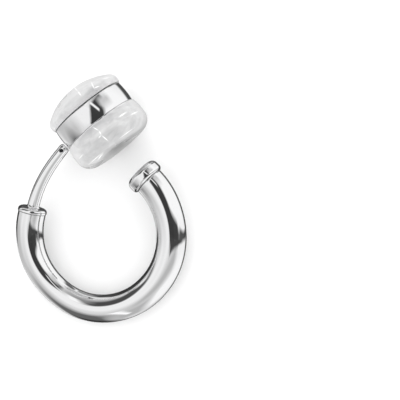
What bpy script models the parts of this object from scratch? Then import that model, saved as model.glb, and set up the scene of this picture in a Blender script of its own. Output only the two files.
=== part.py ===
"""Clip-on hoop earring: a polished tube hoop with a padded clip head hinged on a curved stem.

The hoop is drawn flat, its centre at (0, 0), the gap for the ear at the top right and the clip
head at the top. An empty then lays the whole earring on its side, as it rests on a table: the
bottom of the tube and the rim of the lower pad touch the surface.
"""

import math

import bmesh
import bpy
from mathutils import Matrix, Vector

MM = 0.001
SEAM = 0.05 * MM

# Hoop tube, about 20 mm across. The stations follow each other every 30 degrees from the cap round
# the bottom to the collar, with the path's radius and the tube's diameter at each, in millimetres
CAP_SEAM_ANGLE = math.radians(46.5)
STATION_STEP = math.radians(30)
TUBE_STATIONS = (
    (8.47, 3.42),
    (8.34, 3.38),
    (8.32, 3.4),
    (8.33, 3.36),
    (8.39, 3.24),
    (8.42, 3.16),
    (8.29, 3.06),
    (8.32, 3.1),
    (8.34, 3.18),
)
TAIL_LENGTH = 0.45 * MM
TUBE_SEGMENTS = 56
END_STEP = 0.05
TUBE_SIDES_RESOLUTION = 8
SOCKET_DEPTH = 1.0 * MM
SPIGOT_DIAMETER = 1.8 * MM

# End cap, a pillow-edged knob that closes the front end of the tube
CAP_DIAMETER = 4.1 * MM
CAP_LENGTH = 1.52 * MM
CAP_FACE_ROUND = 0.62 * MM
CAP_BACK_ROUND = 0.35 * MM

# Collar, a rolled ring on the other end of the tube, with the stem's trumpet foot on it
COLLAR_DIAMETER = 3.3 * MM
COLLAR_LENGTH = 0.6 * MM
COLLAR_ROUND = 0.25 * MM
COLLAR_TOP_FALL = 0.08 * MM
FOOT_DIAMETER = 2.1 * MM
FOOT_TOP_DIAMETER = 1.32 * MM
FOOT_HEIGHT = 0.45 * MM
FOOT_FLARE = 0.36 * MM

# Stem, the curved rod that carries the clip head
STEM_BASE_DIAMETER = 1.38 * MM
STEM_TIP_DIAMETER = 1.2 * MM
STEM_END_DIAMETER = 0.96 * MM
STEM_TIP_ANGLE = math.radians(49)
STEM_SEGMENTS = 24
STEM_SIDES_RESOLUTION = 5
STEM_PAST_PIN = (0.24 * MM, 0.45 * MM, 0.6 * MM)
STEM_BEND = 0.36
FORK_SLOT_WIDTH = 0.46 * MM
FORK_SLOT_DEPTH = 0.7 * MM

# Hinge pin, square to the hoop's plane
PIN_X = -4.19 * MM
PIN_Y = 9.48 * MM
PIN_DIAMETER = 0.4 * MM
PIN_HOLE_DIAMETER = 0.5 * MM
PIN_RECESS = 0.08 * MM

# Clip head, a drum with a pad on each face; its axis points from the lower pad to the upper
HEAD_AXIS_ANGLE = math.radians(129.2)
DRUM_X = 0.34 * MM
DRUM_Y = 12.42 * MM
DRUM_DIAMETER = 9.05 * MM
DRUM_HEIGHT = 2.4 * MM
DRUM_ROUND = 0.15 * MM
NECK_DIAMETER = 8.7 * MM
NECK_HEIGHT = 0.55 * MM
TONGUE_THICKNESS = 0.36 * MM
TONGUE_EYE_RADIUS = 0.45 * MM
UPPER_PAD_DIAMETER = 9.4 * MM
UPPER_PAD_HEIGHT = 2.65 * MM
UPPER_PAD_EDGE = 1.0 * MM
UPPER_PAD_CROWN_DIAMETER = 8.84 * MM
UPPER_PAD_WIDEST = (0.75 * MM, 0.3 * MM)
UPPER_PAD_BACK_DIAMETER = 9.12 * MM
CROWN_STEPS = 7
LOWER_PAD_DIAMETER = 9.55 * MM
LOWER_PAD_HEIGHT = 2.8 * MM
LOWER_PAD_LIP_DIAMETER = 9.2 * MM
LOWER_PAD_LIP_ROUND = 0.12 * MM
LOWER_PAD_SHOULDER_DROP = 1.0 * MM
LOWER_PAD_SHOULDER_ROUND = 1.0 * MM
LOWER_PAD_FACE_ROUND = 1.25 * MM

# Facets round the turned pieces, the pin and its holes, and the reach of a cutter past what it cuts
TURNED_STEPS = 40
SMALL_TURNED_STEPS = 28
HOLE_SIDES = 20
PIN_SIDES = 16
CUTTER_REACH = 1.0 * MM
ROD_UNIT_RADIUS = 0.5 * MM

# How the earring lies: its plane is tipped about a line in it, because the clip head is wider than the tube
LYING_TILT = math.radians(9.44)
LYING_LINE_ANGLE = math.radians(-5.1)


def clear_scene():
    for leftover in list(bpy.data.objects):
        bpy.data.objects.remove(leftover, do_unlink=True)


def new_collection(name, hidden=False):
    collection = bpy.data.collections.new(name)
    collection.hide_render = hidden
    bpy.context.scene.collection.children.link(collection)
    return collection


def surface(name, colour, roughness, metallic):
    material = bpy.data.materials.new(name)
    material.use_nodes = True
    shader = material.node_tree.nodes["Principled BSDF"]
    shader.inputs["Base Color"].default_value = (*colour, 1.0)
    shader.inputs["Roughness"].default_value = roughness
    shader.inputs["Metallic"].default_value = metallic
    return material


def add_object(name, data, collection, parent=None, matrix=None, material=None):
    """Link a new object, placed by a matrix in its parent's space."""
    made = bpy.data.objects.new(name, data)
    collection.objects.link(made)
    made.parent = parent
    made.matrix_local = matrix or Matrix.Identity(4)
    if material:
        data.materials.append(material)
    return made


def shade_round(mesh):
    mesh.shade_smooth()
    mesh.set_sharp_from_angle(angle=math.radians(40))


def on_hoop(angle, radius):
    return Vector((radius * math.cos(angle), radius * math.sin(angle), 0.0))


def at_station(place):
    """Path radius and tube diameter at a place counted in stations, on a smooth curve through them."""
    last = len(TUBE_STATIONS) - 1
    index = min(int(place), last - 1)
    t = place - index
    a, b, c, d = (Vector(TUBE_STATIONS[min(max(i, 0), last)]) for i in range(index - 1, index + 3))
    curve = b * 2 + (c - a) * t + (a * 2 - b * 5 + c * 4 - d) * t**2 + (b * 3 - a - c * 3 + d) * t**3
    return curve * MM / 2


def axis_frame(point, direction_angle):
    """A frame at the point whose +Z lies in the hoop's plane at the angle, with +Y along the hinge axis."""
    along = Vector((math.cos(direction_angle), math.sin(direction_angle), 0.0))
    across = Vector((0.0, 0.0, 1.0))
    side = across.cross(along)
    frame = Matrix((side, across, along)).transposed().to_4x4()
    frame.translation = point
    return frame


def rounded_outline(corners, steps=4):
    """Points of an outline whose corners (radius, height, rounding) are turned into arcs."""
    points = []
    for index, (x, z, rounding) in enumerate(corners):
        here = Vector((x, z))
        if rounding == 0 or index in (0, len(corners) - 1):
            points.append(here)
            continue
        before = (Vector(corners[index - 1][:2]) - here).normalized()
        after = (Vector(corners[index + 1][:2]) - here).normalized()
        half = before.angle(after) / 2
        reach = rounding / math.tan(half)
        centre = here + (before + after).normalized() * rounding / math.sin(half)
        start = here + before * reach - centre
        sweep = start.angle_signed(here + after * reach - centre)
        for step in range(steps + 1):
            turn = Matrix.Rotation(-sweep * step / steps, 2)
            points.append(centre + turn @ start)
    return points


def turned(name, outline, steps, collection, parent, matrix, material=None):
    """A solid of revolution about local Z; the outline runs down the outer side, top to bottom."""
    mesh = bpy.data.meshes.new(name)
    points = [(point.x, 0.0, point.y) for point in outline]
    edges = [(index, index + 1) for index in range(len(points) - 1)]
    mesh.from_pydata(points, edges, [])
    made = add_object(name, mesh, collection, parent, matrix, material)
    screw = made.modifiers.new("turn", "SCREW")
    screw.axis = "Z"
    screw.angle = 2 * math.pi
    screw.steps = steps
    screw.render_steps = steps
    screw.use_merge_vertices = True
    screw.merge_threshold = 0.001 * MM
    screw.use_smooth_shade = True
    return made


def swept_rod(name, path, diameters, sides_resolution, collection, parent, material=None):
    """A rod of varying thickness along a path, as a mesh with its end caps welded."""
    curve = bpy.data.curves.new(name, "CURVE")
    curve.dimensions = "3D"
    curve.bevel_depth = ROD_UNIT_RADIUS
    curve.bevel_resolution = sides_resolution
    curve.use_fill_caps = True
    curve.twist_mode = "Z_UP"
    spline = curve.splines.new("POLY")
    spline.points.add(len(path) - 1)
    for point, place, diameter in zip(spline.points, path, diameters):
        point.co = (*place, 1.0)
        point.radius = diameter / 2 / ROD_UNIT_RADIUS
    guide = add_object(name + "_path", curve, collection, parent)
    bpy.context.view_layer.update()
    mesh = bpy.data.meshes.new_from_object(guide.evaluated_get(bpy.context.evaluated_depsgraph_get()))
    bpy.data.objects.remove(guide, do_unlink=True)
    mesh.name = name
    weld(mesh)
    shade_round(mesh)
    return add_object(name, mesh, collection, parent, None, material)


def weld(mesh):
    shape = bmesh.new()
    shape.from_mesh(mesh)
    bmesh.ops.remove_doubles(shape, verts=shape.verts, dist=0.0001 * MM)
    bmesh.ops.recalc_face_normals(shape, faces=shape.faces)
    shape.to_mesh(mesh)
    shape.free()


def rod(name, diameter, low, high, sides, collection, parent, matrix, material=None):
    """A straight cylinder along local Z between two heights."""
    shape = bmesh.new()
    bmesh.ops.create_cone(
        shape, cap_ends=True, segments=sides, radius1=diameter / 2, radius2=diameter / 2, depth=high - low
    )
    bmesh.ops.translate(shape, verts=shape.verts, vec=(0.0, 0.0, (low + high) / 2))
    mesh = bpy.data.meshes.new(name)
    shape.to_mesh(mesh)
    shape.free()
    shade_round(mesh)
    return add_object(name, mesh, collection, parent, matrix, material)


def block(name, low, high, collection, parent, matrix):
    """A box between two corners."""
    shape = bmesh.new()
    bmesh.ops.create_cube(shape, size=1.0)
    size = Vector(high) - Vector(low)
    bmesh.ops.scale(shape, verts=shape.verts, vec=size)
    bmesh.ops.translate(shape, verts=shape.verts, vec=(Vector(low) + Vector(high)) / 2)
    mesh = bpy.data.meshes.new(name)
    shape.to_mesh(mesh)
    shape.free()
    return add_object(name, mesh, collection, parent, matrix)


def combine(target, tool, operation):
    """A live Boolean of the target with a helper, which is kept out of the render."""
    modifier = target.modifiers.new(tool.name, "BOOLEAN")
    modifier.operation = operation
    modifier.object = tool
    tool.hide_render = True
    tool.display_type = "WIRE"


def tube_line():
    """Centreline and diameters of the hoop tube, from the end cap round the bottom to the collar.

    A short first step keeps the end face at the cap square to the arc.
    """
    path, diameters = [], []
    for step in (0.0, END_STEP, *range(1, TUBE_SEGMENTS + 1)):
        place = (len(TUBE_STATIONS) - 1) * step / TUBE_SEGMENTS
        radius, diameter = at_station(place)
        path.append(on_hoop(CAP_SEAM_ANGLE - STATION_STEP * place, radius))
        diameters.append(diameter)
    path.append(path[-1] + (path[-1] - path[-2]).normalized() * TAIL_LENGTH)
    diameters.append(diameters[-1])
    return path, diameters


def end_frame(end, before):
    """A seat on one end of the tube, with +Z pointing out of the tube."""
    along = end - before
    return axis_frame(end, math.atan2(along.y, along.x))


def make_hoop_tube(parts, cutters, parent, metal):
    path, diameters = tube_line()
    tube = swept_rod("hoop_tube", path, diameters, TUBE_SIDES_RESOLUTION, parts, parent, metal)
    for name, frame in (("cap_socket", cap_frame()), ("collar_socket", collar_frame())):
        width = SPIGOT_DIAMETER + 2 * SEAM
        socket = rod(name, width, -SOCKET_DEPTH - SEAM, CUTTER_REACH, HOLE_SIDES, cutters, parent, frame)
        combine(tube, socket, "DIFFERENCE")
    return tube


def cap_frame():
    """The cap's seat on the tube."""
    path = tube_line()[0]
    return end_frame(path[0], path[1])


def collar_frame():
    """The collar's seat on the tube's other end."""
    path = tube_line()[0]
    return end_frame(path[-1], path[-2])


def make_end_cap(parts, parent, metal):
    spigot = SPIGOT_DIAMETER / 2
    outline = rounded_outline(
        [
            (0.0, CAP_LENGTH, 0.0),
            (CAP_DIAMETER / 2, CAP_LENGTH, CAP_FACE_ROUND),
            (CAP_DIAMETER / 2, SEAM, CAP_BACK_ROUND),
            (spigot, SEAM, 0.0),
            (spigot, -SOCKET_DEPTH, 0.0),
            (0.0, -SOCKET_DEPTH, 0.0),
        ]
    )
    return turned("end_cap", outline, SMALL_TURNED_STEPS, parts, parent, cap_frame(), metal)


def collar_outline():
    """The spigot, the rolled ring, its domed top and the trumpet foot that the stem grows from."""
    rim = COLLAR_DIAMETER / 2
    spigot = SPIGOT_DIAMETER / 2
    top = COLLAR_LENGTH + FOOT_HEIGHT
    return rounded_outline(
        [
            (0.0, top, 0.0),
            (FOOT_TOP_DIAMETER / 2, top, 0.0),
            (STEM_BASE_DIAMETER / 2, COLLAR_LENGTH, FOOT_FLARE),
            (FOOT_DIAMETER / 2, COLLAR_LENGTH, 0.0),
            (rim, COLLAR_LENGTH - COLLAR_TOP_FALL, COLLAR_ROUND),
            (rim, SEAM, COLLAR_ROUND),
            (spigot, SEAM, 0.0),
            (spigot, -SOCKET_DEPTH, 0.0),
            (0.0, -SOCKET_DEPTH, 0.0),
        ]
    )


def stem_path():
    """Centreline of the stem: a bend that leaves the collar square to it and ends just past the pin."""
    frame = collar_frame()
    start = frame @ Vector((0.0, 0.0, COLLAR_LENGTH / 2))
    leave = frame.to_3x3() @ Vector((0.0, 0.0, 1.0))
    arrive = Vector((math.cos(STEM_TIP_ANGLE), math.sin(STEM_TIP_ANGLE), 0.0))
    pin = Vector((PIN_X, PIN_Y, 0.0))
    bend = (pin - start).length * STEM_BEND
    controls = (start, start + leave * bend, pin - arrive * bend, pin)
    path = bezier(controls, STEM_SEGMENTS)
    for past in STEM_PAST_PIN:
        path.append(pin + arrive * past)
    return path


def bezier(controls, segments):
    a, b, c, d = controls
    points = []
    for step in range(segments + 1):
        t = step / segments
        u = 1 - t
        points.append(a * u**3 + b * (3 * t * u**2) + c * (3 * t**2 * u) + d * t**3)
    return points


def make_stem(parts, cutters, parent, metal):
    """The stem and its collar are soldered into one solid, with a forked end for the clip's tongue."""
    path = stem_path()
    diameters = []
    for index in range(len(path)):
        t = min(1.0, index / STEM_SEGMENTS)
        diameters.append(STEM_BASE_DIAMETER + (STEM_TIP_DIAMETER - STEM_BASE_DIAMETER) * t)
    diameters[-1] = STEM_END_DIAMETER
    stem = swept_rod("clip_stem", path, diameters, STEM_SIDES_RESOLUTION, parts, parent, metal)
    collar = turned("collar", collar_outline(), SMALL_TURNED_STEPS, cutters, parent, collar_frame())
    combine(stem, collar, "UNION")
    tip = axis_frame(Vector((PIN_X, PIN_Y, 0.0)), STEM_TIP_ANGLE)
    low = (-CUTTER_REACH, -FORK_SLOT_WIDTH / 2, -FORK_SLOT_DEPTH)
    high = (CUTTER_REACH, FORK_SLOT_WIDTH / 2, CUTTER_REACH)
    combine(stem, block("fork_slot", low, high, cutters, parent, tip), "DIFFERENCE")
    combine(stem, pin_hole("stem_pin_hole", cutters, parent, pin_matrix()), "DIFFERENCE")
    return stem


def pin_hole(name, cutters, parent, matrix):
    return rod(name, PIN_HOLE_DIAMETER, -CUTTER_REACH, CUTTER_REACH, HOLE_SIDES, cutters, parent, matrix)


def pin_matrix():
    return Matrix.Translation((PIN_X, PIN_Y, 0.0))


def make_pin(parts, parent, metal):
    half = STEM_TIP_DIAMETER / 2 - PIN_RECESS
    return rod("hinge_pin", PIN_DIAMETER, -half, half, PIN_SIDES, parts, parent, pin_matrix(), metal)


def head_matrix():
    """The drum's lower rim seen from the hinge: +Z runs up the drum's axis."""
    rim_centre = Vector((DRUM_X - PIN_X, DRUM_Y - PIN_Y, 0.0))
    return axis_frame(rim_centre, HEAD_AXIS_ANGLE)


def make_drum(parts, cutters, hinge, metal):
    """The housing with its neck, and the tongue that the pin passes through."""
    outline = rounded_outline(
        [
            (0.0, DRUM_HEIGHT, 0.0),
            (DRUM_DIAMETER / 2, DRUM_HEIGHT, DRUM_ROUND),
            (DRUM_DIAMETER / 2, 0.0, DRUM_ROUND),
            (NECK_DIAMETER / 2, 0.0, 0.0),
            (NECK_DIAMETER / 2, -NECK_HEIGHT, 0.0),
            (0.0, -NECK_HEIGHT, 0.0),
        ]
    )
    frame = head_matrix()
    drum = turned("clip_drum", outline, TURNED_STEPS, parts, hinge, frame, metal)
    half = TONGUE_THICKNESS / 2
    pin = frame.inverted().translation
    low = (pin.x, -half, pin.z - TONGUE_EYE_RADIUS)
    high = (0.0, half, pin.z + TONGUE_EYE_RADIUS)
    combine(drum, block("tongue_arm", low, high, cutters, hinge, frame), "UNION")
    eye = rod("tongue_eye", TONGUE_EYE_RADIUS * 2, -half, half, HOLE_SIDES, cutters, hinge, None)
    combine(drum, eye, "UNION")
    combine(drum, pin_hole("tongue_pin_hole", cutters, hinge, None), "DIFFERENCE")
    return drum


def crown_outline(base):
    """The upper pad from its crown down a shallow dome, over its edge and along its flat back."""
    radius = UPPER_PAD_DIAMETER / 2
    rise = UPPER_PAD_HEIGHT - UPPER_PAD_EDGE
    sphere = (radius**2 + rise**2) / (2 * rise)
    top = base + UPPER_PAD_HEIGHT
    widest_lean = math.asin(UPPER_PAD_CROWN_DIAMETER / 2 / sphere)
    points = []
    for step in range(CROWN_STEPS + 1):
        lean = widest_lean * step / CROWN_STEPS
        points.append(Vector((sphere * math.sin(lean), top - sphere * (1 - math.cos(lean)))))
    for height in UPPER_PAD_WIDEST:
        points.append(Vector((radius, base + height)))
    points.append(Vector((UPPER_PAD_BACK_DIAMETER / 2, base)))
    points.append(Vector((0.0, base)))
    return points


def make_upper_pad(parts, hinge, silicone):
    outline = crown_outline(DRUM_HEIGHT + SEAM)
    return turned("upper_pad", outline, TURNED_STEPS, parts, hinge, head_matrix(), silicone)


def make_lower_pad(parts, hinge, silicone):
    """A thick disc with a pocket for the drum's neck, whose lip comes up to the drum's rim."""
    floor = -NECK_HEIGHT - SEAM
    bottom = floor - LOWER_PAD_HEIGHT
    pocket = NECK_DIAMETER / 2 + SEAM
    radius = LOWER_PAD_DIAMETER / 2
    outline = rounded_outline(
        [
            (0.0, floor, 0.0),
            (pocket, floor, 0.0),
            (pocket, -SEAM, 0.0),
            (LOWER_PAD_LIP_DIAMETER / 2, -SEAM, LOWER_PAD_LIP_ROUND),
            (radius, -LOWER_PAD_SHOULDER_DROP, LOWER_PAD_SHOULDER_ROUND),
            (radius, bottom, LOWER_PAD_FACE_ROUND),
            (0.0, bottom, 0.0),
        ],
        steps=5,
    )
    return turned("lower_pad", outline, TURNED_STEPS, parts, hinge, head_matrix(), silicone)


def set_down(root, parts):
    """Move the whole earring so that the middle of its base is at the origin."""
    bpy.context.view_layer.update()
    graph = bpy.context.evaluated_depsgraph_get()
    corners = []
    for piece in parts.objects:
        if piece.type == "MESH":
            shape = piece.evaluated_get(graph)
            corners += [piece.matrix_world @ vertex.co for vertex in shape.data.vertices]
    low = [min(corner[axis] for corner in corners) for axis in range(3)]
    high = [max(corner[axis] for corner in corners) for axis in range(3)]
    root.location = (-(low[0] + high[0]) / 2, -(low[1] + high[1]) / 2, -low[2])


def main():
    clear_scene()
    parts = new_collection("clip_on_hoop_earring")
    cutters = new_collection("cutters", hidden=True)
    metal = surface("polished_silver", (0.88, 0.88, 0.88), 0.05, 1.0)
    dark = surface("dark_pin", (0.05, 0.05, 0.05), 0.3, 1.0)
    silicone = surface("clear_silicone", (0.85, 0.86, 0.87), 0.25, 0.0)

    tip_line = Vector((math.cos(LYING_LINE_ANGLE), math.sin(LYING_LINE_ANGLE), 0.0))
    lying = Matrix.Rotation(LYING_TILT, 4, tip_line)
    hoop = add_object("hoop_frame", None, parts, None, lying)
    hinge = add_object("clip_hinge", None, parts, hoop, pin_matrix())
    bpy.context.view_layer.update()

    make_hoop_tube(parts, cutters, hoop, metal)
    make_end_cap(parts, hoop, metal)
    make_stem(parts, cutters, hoop, metal)
    make_pin(parts, hoop, dark)
    make_drum(parts, cutters, hinge, metal)
    make_upper_pad(parts, hinge, silicone)
    make_lower_pad(parts, hinge, silicone)
    set_down(hoop, parts)


main()
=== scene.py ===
# %% [markdown]
# # A clip-on hoop earring
#
# The real earring is a polished silver tube bent into a hoop, with a rounded cap on its front end
# and a rolled collar on the other. A thin stem grows out of the collar and carries a clip: a small
# drum with a clear silicone pad on each side, hinged on a dark pin. This lesson dresses the packed
# solids of that part. The first cell loads them and bakes each one's place into its mesh.

# %% Load the imported part
import math

import bmesh
import bpy
from mathutils import Matrix, Vector, noise


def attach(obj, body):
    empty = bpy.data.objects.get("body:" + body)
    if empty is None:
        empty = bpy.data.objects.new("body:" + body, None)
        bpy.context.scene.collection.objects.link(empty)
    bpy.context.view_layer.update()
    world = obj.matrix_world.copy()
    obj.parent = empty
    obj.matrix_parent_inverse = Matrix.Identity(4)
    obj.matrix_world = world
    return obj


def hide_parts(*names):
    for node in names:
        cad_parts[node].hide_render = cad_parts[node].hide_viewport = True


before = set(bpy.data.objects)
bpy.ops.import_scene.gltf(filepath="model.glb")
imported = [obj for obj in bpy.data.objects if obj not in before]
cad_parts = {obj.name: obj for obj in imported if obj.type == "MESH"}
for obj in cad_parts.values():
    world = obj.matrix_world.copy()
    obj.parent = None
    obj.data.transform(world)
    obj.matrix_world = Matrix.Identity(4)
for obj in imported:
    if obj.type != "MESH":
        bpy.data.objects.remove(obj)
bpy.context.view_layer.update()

print("pieces of the part:", ", ".join(sorted(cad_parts)))

# %% [markdown]
# ## Where the earring lies
#
# It is easiest to shape an earring flat, with the hoop's centre at zero and its plane level. The
# real one can't lie so: the drum is wider than the tube, so the hoop tips over until the bottom of
# the tube and the rim of the lower pad touch the table. One matrix makes that move, and every
# finished mesh goes through it once, so that its object can stay unturned at the origin.

# %% The matrix that lays it down
MM = 0.001
LYING_TILT = math.radians(9.44)
LYING_LINE_ANGLE = math.radians(-5.1)
HOOP_PLACE = Vector((-0.0544, -4.0059, 2.9563)) * MM

tip_line = Vector((math.cos(LYING_LINE_ANGLE), math.sin(LYING_LINE_ANGLE), 0.0))
LYING = Matrix.Translation(HOOP_PLACE) @ Matrix.Rotation(LYING_TILT, 4, tip_line)
print("the hoop's own up now points to", [round(x, 3) for x in LYING.to_3x3().col[2]])


# %% [markdown]
# ## Turning on a lathe
#
# Most of the pieces are turned on a lathe. A turner works to an outline, and so does this tool: it
# spins one into a closed shell. Faces could be built one by one instead, but an outline is shorter
# and easier to change. Real turned metal has no sharp corners, so the outline's are rounded first.

# %% Outlines and turning
CORNER_STEPS = 10
CREASE_DEGREES = 35
WELD_DISTANCE = 0.0002 * MM


def rounded(corners, steps=CORNER_STEPS):
    """Points of an outline in millimetres whose corners (radius, height, rounding) become arcs."""
    points = []
    for index, (x, z, rounding) in enumerate(corners):
        here = Vector((x, z)) * MM
        if rounding == 0 or index in (0, len(corners) - 1):
            points.append(here)
            continue
        before = (Vector(corners[index - 1][:2]) * MM - here).normalized()
        after = (Vector(corners[index + 1][:2]) * MM - here).normalized()
        half = before.angle(after) / 2
        reach = rounding * MM / math.tan(half)
        centre = here + (before + after).normalized() * rounding * MM / math.sin(half)
        start = here + before * reach - centre
        sweep = start.angle_signed(here + after * reach - centre)
        for step in range(steps + 1):
            points.append(centre + Matrix.Rotation(-sweep * step / steps, 2) @ start)
    return points


def new_piece(name, mesh, material=None):
    """An object at the origin that carries the mesh."""
    piece = bpy.data.objects.new(name, mesh)
    bpy.context.scene.collection.objects.link(piece)
    if material:
        mesh.materials.append(material)
    return piece


def smooth(mesh):
    """Shade the mesh smoothly, apart from its real edges."""
    mesh.shade_smooth()
    mesh.set_sharp_from_angle(angle=math.radians(CREASE_DEGREES))


def turned(name, outline, steps, material):
    """A closed shell of revolution about Z."""
    shape = bmesh.new()
    line = [shape.verts.new((point.x, 0.0, point.y)) for point in outline]
    edges = [shape.edges.new(pair) for pair in zip(line, line[1:])]
    bmesh.ops.spin(
        shape,
        geom=line + edges,
        axis=(0, 0, 1),
        cent=(0, 0, 0),
        angle=2 * math.pi,
        steps=steps,
        use_merge=True,
    )
    bmesh.ops.remove_doubles(shape, verts=shape.verts, dist=WELD_DISTANCE)
    bmesh.ops.recalc_face_normals(shape, faces=shape.faces)
    mesh = bpy.data.meshes.new(name)
    shape.to_mesh(mesh)
    shape.free()
    smooth(mesh)
    return new_piece(name, mesh, material)


def cylinder(name, diameter, low, high, sides):
    """A plain round helper between two heights, in millimetres."""
    outline = rounded([(0, high, 0), (diameter / 2, high, 0), (diameter / 2, low, 0), (0, low, 0)])
    return turned(name, outline, sides, None)


print("each rounded corner is drawn in", CORNER_STEPS, "steps")

# %% [markdown]
# ## Cutting and joining
#
# The real pieces have slots and holes cut into them, and some are soldered together. Both are a
# Boolean here: a helper solid is taken away or added, and then thrown away. The result is kept as a
# plain mesh, because the export reads meshes and not modifiers.

# %% Boxes, cuts and joins
def box(name, low, high):
    """A plain helper box between two corners, in millimetres."""
    shape = bmesh.new()
    bmesh.ops.create_cube(shape, size=1.0)
    size = (Vector(high) - Vector(low)) * MM
    bmesh.ops.scale(shape, verts=shape.verts, vec=size)
    bmesh.ops.translate(shape, verts=shape.verts, vec=(Vector(low) + Vector(high)) * MM / 2)
    mesh = bpy.data.meshes.new(name)
    shape.to_mesh(mesh)
    shape.free()
    return new_piece(name, mesh)


def baked(piece):
    """Keep the evaluated shape as the piece's plain mesh."""
    bpy.context.view_layer.update()
    graph = bpy.context.evaluated_depsgraph_get()
    mesh = bpy.data.meshes.new_from_object(piece.evaluated_get(graph))
    mesh.name = piece.name
    piece.modifiers.clear()
    piece.data = mesh
    return piece


def combine(piece, tool, operation):
    """Join or cut with a helper, which is then thrown away."""
    step = piece.modifiers.new("combine", "BOOLEAN")
    step.operation = operation
    step.object = tool
    step.solver = "EXACT"
    baked(piece)
    smooth(piece.data)
    bpy.data.objects.remove(tool, do_unlink=True)
    return piece


print("edges sharper than", CREASE_DEGREES, "degrees stay sharp after a cut or a join")

# %% [markdown]
# ## Putting a piece in its place
#
# A turned piece is made upright at zero. One tool gives the frame in the hoop's plane where it
# belongs. The other lays the finished mesh on the table, ties it to the body that it moves with and
# hides the imported solids that it stands for.

# %% Placing and laying down
def frame_at(x, y, direction):
    """A frame in the hoop's plane whose Z points along the angle and whose Y is square to the plane."""
    along = Vector((math.cos(direction), math.sin(direction), 0.0))
    across = Vector((0.0, 0.0, 1.0))
    placed = Matrix((across.cross(along), across, along)).transposed().to_4x4()
    placed.translation = Vector((x, y, 0.0)) * MM
    return placed


def lay_down(piece, body, replaced):
    """Lay a finished piece on the table and tie it to its body."""
    piece.data.transform(LYING)
    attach(piece, body)
    for node in replaced:
        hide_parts(node)
    size = [round(length / MM, 2) for length in piece.dimensions]
    print(f"{piece.name}: {len(piece.data.polygons)} faces, {size} mm, rides on {body}")


print("every piece will be tipped by", round(math.degrees(LYING_TILT), 2), "degrees")

# %% [markdown]
# ## Polished silver
#
# A mirror polish is never quite even: the buffing wheel leaves faint swirls and very fine scratches,
# and handling adds a soft haze here and there. The shape of the reflections does most of the work,
# so the shader stays simple: full metal, light colour, low roughness. One node group makes the
# polish marks, because the silver and the dark pin both have them at their own strength.

# %% The polish marks, as a node group
HAZE_PER_METRE = 420.0
HAZE_FROM = 0.42
HAZE_TO = 0.72
SCRATCHES_PER_METRE = 2600.0
SCRATCH_TURN = (0.4, 0.2, 0.9)
SCRATCH_STRETCH = (1.0, 0.12, 1.0)
SCRATCH_DEPTH = 0.01 * MM


def node_group(name, kind, inputs, outputs):
    """A node group with named sockets and their starting values, and its two end nodes."""
    tree = bpy.data.node_groups.new(name, kind)
    for label, sort, value in inputs:
        made = tree.interface.new_socket(name=label, in_out="INPUT", socket_type="NodeSocket" + sort)
        if value is not None:
            made.default_value = value
    for label, sort in outputs:
        tree.interface.new_socket(name=label, in_out="OUTPUT", socket_type="NodeSocket" + sort)
    nodes = tree.nodes
    return tree, nodes, tree.links, nodes.new("NodeGroupInput"), nodes.new("NodeGroupOutput")


def range_node(nodes, values, smooth_step=False):
    """A Map Range node with the named values set."""
    node = nodes.new("ShaderNodeMapRange")
    if smooth_step:
        node.interpolation_type = "SMOOTHSTEP"
    for name, value in values.items():
        node.inputs[name].default_value = value
    return node


def noise_node(nodes, links, vector, scale, detail):
    """Noise over a vector, so many lumps to the metre."""
    node = nodes.new("ShaderNodeTexNoise")
    node.inputs["Scale"].default_value = scale
    node.inputs["Detail"].default_value = detail
    links.new(vector, node.inputs["Vector"])
    return node


def polish_marks_group():
    """Uneven roughness from the polishing wheel, and the height of its fine scratches."""
    tree, nodes, links, given, out = node_group(
        "polish_marks",
        "ShaderNodeTree",
        inputs=(("Smooth", "Float", 0.04), ("Hazy", "Float", 0.09)),
        outputs=(("Roughness", "Float"), ("Height", "Float")),
    )
    place = nodes.new("ShaderNodeTexCoord")
    haze = noise_node(nodes, links, place.outputs["Object"], HAZE_PER_METRE, 5.0)
    spread = range_node(nodes, {"From Min": HAZE_FROM, "From Max": HAZE_TO}, smooth_step=True)
    links.new(haze.outputs["Fac"], spread.inputs["Value"])
    links.new(given.outputs["Smooth"], spread.inputs["To Min"])
    links.new(given.outputs["Hazy"], spread.inputs["To Max"])
    links.new(spread.outputs["Result"], out.inputs["Roughness"])
    stretch = nodes.new("ShaderNodeMapping")
    stretch.inputs["Rotation"].default_value = SCRATCH_TURN
    stretch.inputs["Scale"].default_value = SCRATCH_STRETCH
    links.new(place.outputs["Object"], stretch.inputs["Vector"])
    scratch = noise_node(nodes, links, stretch.outputs["Vector"], SCRATCHES_PER_METRE, 3.0)
    links.new(scratch.outputs["Fac"], out.inputs["Height"])
    return tree


POLISH_MARKS = polish_marks_group()


def metal(name, colour, smooth_value, hazy_value, bump):
    """A metal of one colour with the polish marks on it."""
    material = bpy.data.materials.new(name)
    material.use_nodes = True
    nodes, links = material.node_tree.nodes, material.node_tree.links
    shader = nodes["Principled BSDF"]
    shader.inputs["Base Color"].default_value = (*colour, 1.0)
    shader.inputs["Metallic"].default_value = 1.0
    marks = nodes.new("ShaderNodeGroup")
    marks.node_tree = POLISH_MARKS
    marks.inputs["Smooth"].default_value = smooth_value
    marks.inputs["Hazy"].default_value = hazy_value
    relief = nodes.new("ShaderNodeBump")
    relief.inputs["Strength"].default_value = bump
    relief.inputs["Distance"].default_value = SCRATCH_DEPTH
    links.new(marks.outputs["Roughness"], shader.inputs["Roughness"])
    links.new(marks.outputs["Height"], relief.inputs["Height"])
    links.new(relief.outputs["Normal"], shader.inputs["Normal"])
    print(f"metal {name}: roughness {smooth_value} to {hazy_value}")
    return material


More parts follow.
